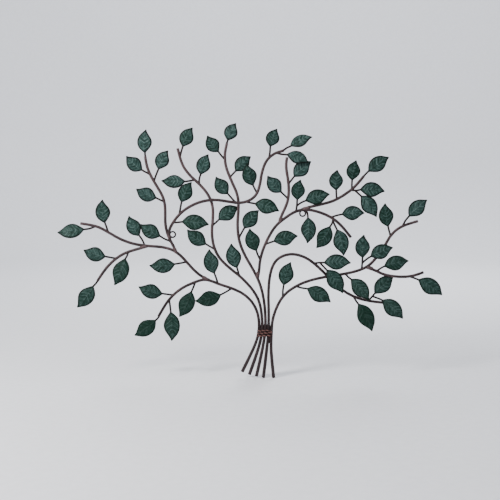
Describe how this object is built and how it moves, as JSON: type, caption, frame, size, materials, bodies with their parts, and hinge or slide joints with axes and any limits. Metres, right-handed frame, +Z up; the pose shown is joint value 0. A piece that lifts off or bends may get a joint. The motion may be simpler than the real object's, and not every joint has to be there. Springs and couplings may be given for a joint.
{
  "type": "metal wall tree",
  "caption": "Wall-hung tree of welded bent rod with branching limbs, wire stems, domed sheet leaves and hanging rings.",
  "frame": {"origin": "bottom centre of the overall box: the level of the lowest trunk rod end, midway across the spread, midway between the frontmost leaf and the rearmost rod", "axes": "+X to the right as the tree is looked at, +Z up, the leafy front faces -Y and the wall is on the +Y side"},
  "size_m": [0.9214, 0.0266, 0.6122],
  "materials": {
    "rod": "dark brown paint rubbed back to copper red on the raised edges, satin",
    "stem": "dark brown paint, satin",
    "leaf": "deep blue-green paint with a darker rim, satin",
    "braze": "copper-brown paint over braze, satin",
    "tie": "copper-brown paint, satin",
    "ring": "dark brown paint, satin"
  },
  "bodies": {
    "root": {"trunk_rod_1": "rod", "trunk_rod_2": "rod", "trunk_rod_3": "rod", "trunk_rod_4": "rod", "trunk_rod_5": "rod", "left_limb": "rod", "left_arm": "rod", "left_crown_branch": "rod", "cross_branch": "rod", "centre_branch": "rod", "upright_branch": "rod", "upper_right_branch": "rod", "lower_right_branch": "rod", "waist_braze": "braze", "waist_binding_wire": "tie", "hanging_ring_left": "ring", "hanging_ring_right": "ring", "trunk_rod_1_leaves": "leaf", "trunk_rod_2_leaves": "leaf", "trunk_rod_3_leaves": "leaf", "trunk_rod_4_leaves": "leaf", "trunk_rod_5_leaves": "leaf", "left_limb_leaves": "leaf", "left_arm_leaves": "leaf", "left_crown_leaves": "leaf", "cross_leaves": "leaf", "centre_leaves": "leaf", "upright_leaves": "leaf", "upper_right_leaves": "leaf", "lower_right_leaves": "leaf", "trunk_rod_1_stems": "stem", "trunk_rod_2_stems": "stem", "trunk_rod_3_stems": "stem", "trunk_rod_4_stems": "stem", "trunk_rod_5_stems": "stem", "left_limb_stems": "stem", "left_arm_stems": "stem", "left_crown_stems": "stem", "cross_stems": "stem", "centre_stems": "stem", "upright_stems": "stem", "upper_right_stems": "stem", "lower_right_stems": "stem"}
  },
  "joints": []
}
